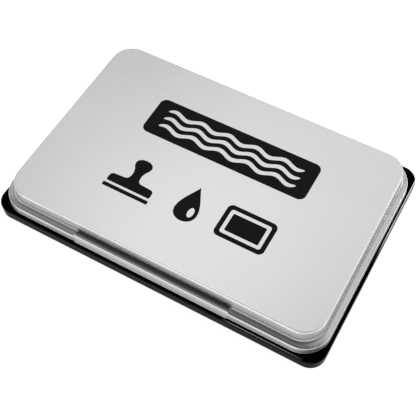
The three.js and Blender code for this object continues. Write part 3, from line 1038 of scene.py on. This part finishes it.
def printed(name, outlines):
    """A film of ink on the panel, filled between its outlines."""
    curve = bpy.data.curves.new(name, "CURVE")
    curve.dimensions = "2D"
    curve.fill_mode = "BOTH"
    curve.extrude = INK_FILM * MM
    for outline in outlines:
        spline = curve.splines.new("POLY")
        spline.points.add(len(outline) - 1)
        for point, (x, y) in zip(spline.points, outline):
            point.co = (x * MM, y * MM, 0, 1)
        spline.use_cyclic_u = True
    flat = bpy.data.objects.new(name, curve)
    mesh = bpy.data.meshes.new_from_object(flat)
    bpy.data.objects.remove(flat)
    bm = bmesh.new()
    bm.from_mesh(mesh)
    bmesh.ops.remove_doubles(bm, verts=bm.verts, dist=1e-7)
    bmesh.ops.translate(bm, vec=(0, 0, TOP * MM), verts=bm.verts)
    bm.to_mesh(mesh)
    bm.free()
    mesh.name = name
    add_piece(name, mesh, "black_lacquer", "lid", material="print")


def make_print():
    """A badge with wavy stripes left clear in it, and a row of a hand stamp, a drop and a pad."""
    badge = [rounded_box(*BADGE, 32.3, 8.2, 2.6)]
    for row in (-3.6, 0.0, 3.6):
        badge.append(wave_stripe(BADGE[0], BADGE[1] + row, length=55, width=1.7, height=0.85, waves=5))
    printed("lid_print_badge", badge)
    printed("lid_print_icons", [
        stamp(STAMP_X, ICON_ROW), rounded_box(STAMP_X, ICON_ROW - 7.0, 9.0, 0.75, 0.4),
        drop(DROP_X, ICON_ROW, 6.2, 15.0), oval(DROP_X + 1.8, ICON_ROW - 3.2, 1.1, 2.0),
        rounded_box(PAD_X, ICON_ROW, 9.3, 6.6, 2.0),
        rounded_box(PAD_X, ICON_ROW, 7.6, 4.9, 0.9),
        rounded_box(PAD_X, ICON_ROW, 6.3, 3.6, 0.5),
    ])


make_print()


# ---------------------------------------------------------------- floor and light

FLOOR_GLOW = 0.85                               # the table is lit from below
FLOOR_HALF = 12.0                               # metres


def make_floor():
    """A plain white table."""
    mesh = bpy.data.meshes.new("floor")
    corners = [(sx * FLOOR_HALF, sy * FLOOR_HALF, 0) for sx, sy in ((-1, -1), (1, -1), (1, 1), (-1, 1))]
    mesh.from_pydata(corners, [], [(0, 1, 2, 3)])
    floor = bpy.data.objects.new("floor", mesh)
    bpy.context.scene.collection.objects.link(floor)
    s = Shader("floor")
    colour = s.blend(s.span(s.noise(3, detail=2.0), 0, 1), (0.93, 0.93, 0.93), (0.96, 0.96, 0.96))
    s.surface.inputs["Specular IOR Level"].default_value = 0.1
    s.surface.inputs["Emission Color"].default_value = (1, 1, 1, 1)
    s.surface.inputs["Emission Strength"].default_value = FLOOR_GLOW
    mesh.materials.append(s.finish(Base_Color=colour, Roughness=0.9))


LIGHT_DISTANCE = 1.4                            # metres from the object


def sky(azimuth, elevation):
    """Direction at an angle anticlockwise from +X, and an angle above the floor."""
    around, up = math.radians(azimuth), math.radians(elevation)
    return Vector((math.cos(around) * math.cos(up), math.sin(around) * math.cos(up), math.sin(up)))


def light_strip(name, azimuth, elevation, span, radiance):
    """A soft box that faces the object. Its span is how wide and how high it looks, in degrees."""
    data = bpy.data.lights.new(name, "AREA")
    data.shape = "RECTANGLE"
    data.size, data.size_y = [2 * LIGHT_DISTANCE * math.tan(math.radians(angle / 2)) for angle in span]
    data.energy = radiance * math.pi * data.size * data.size_y
    light = bpy.data.objects.new(name, data)
    light.location = sky(azimuth, elevation) * LIGHT_DISTANCE
    light.rotation_euler = (-light.location).to_track_quat("-Z", "Y").to_euler()
    light.visible_camera = False
    bpy.context.scene.collection.objects.link(light)


BACK_HORIZON, BACK_CEILING = 0.16, 0.83
FRONT_HORIZON, FRONT_CEILING = 0.6, 0.1
BACK_FADE = (20, 40)                            # elevations from horizon to ceiling, in degrees
FRONT_FADE = (24, 42)
FRONT_TO_BACK = (0.02, 0.34)
GLOWS = [                                       # azimuth, elevation, half angle, added brightness
    (126, 61, 13, 0.66),
    (182, 56, 28, 0.22),
    (97, 50, 18, 0.3),
]


def make_world():
    """A pale ceiling behind the object, dimmer in front and at the horizon, with soft bright patches."""
    world = bpy.data.worlds.new("studio")
    bpy.context.scene.world = world
    world.use_nodes = True
    nodes, links = world.node_tree.nodes, world.node_tree.links
    direction = nodes.new("ShaderNodeTexCoord").outputs["Generated"]

    def fade(value, start, stop, low, high):
        """Eases from low to high as a value goes from start to stop."""
        made = nodes.new("ShaderNodeMapRange")
        made.interpolation_type = "SMOOTHSTEP"
        links.new(value, made.inputs["Value"])
        for name, number in (("From Min", start), ("From Max", stop), ("To Min", low), ("To Max", high)):
            made.inputs[name].default_value = number
        return made.outputs[0]

    split = nodes.new("ShaderNodeSeparateXYZ")
    links.new(direction, split.inputs[0])
    height, depth = split.outputs["Z"], split.outputs["Y"]
    front_start, front_stop = [sky(0, elevation).z for elevation in FRONT_FADE]
    back_start, back_stop = [sky(0, elevation).z for elevation in BACK_FADE]
    ceiling = nodes.new("ShaderNodeMix")
    links.new(fade(depth, *FRONT_TO_BACK, 0.0, 1.0), ceiling.inputs[0])
    links.new(fade(height, front_start, front_stop, FRONT_HORIZON, FRONT_CEILING), ceiling.inputs[2])
    links.new(fade(height, back_start, back_stop, BACK_HORIZON, BACK_CEILING), ceiling.inputs[3])
    total = ceiling.outputs[0]
    for azimuth, elevation, spread, gain in GLOWS:
        towards = nodes.new("ShaderNodeVectorMath")
        towards.operation = "DOT_PRODUCT"
        links.new(direction, towards.inputs[0])
        towards.inputs[1].default_value = sky(azimuth, elevation)
        glow = fade(towards.outputs["Value"], math.cos(math.radians(spread)), 1.0, 0.0, gain)
        both = nodes.new("ShaderNodeMath")
        links.new(total, both.inputs[0])
        links.new(glow, both.inputs[1])
        total = both.outputs[0]
    background = nodes["Background"]
    background.inputs["Color"].default_value = (1, 1, 1, 1)
    links.new(total, background.inputs["Strength"])


make_floor()
make_world()
light_strip("back_strip", azimuth=72, elevation=6, span=(76, 7), radiance=6)
bpy.context.scene.view_settings.view_transform = "Standard"
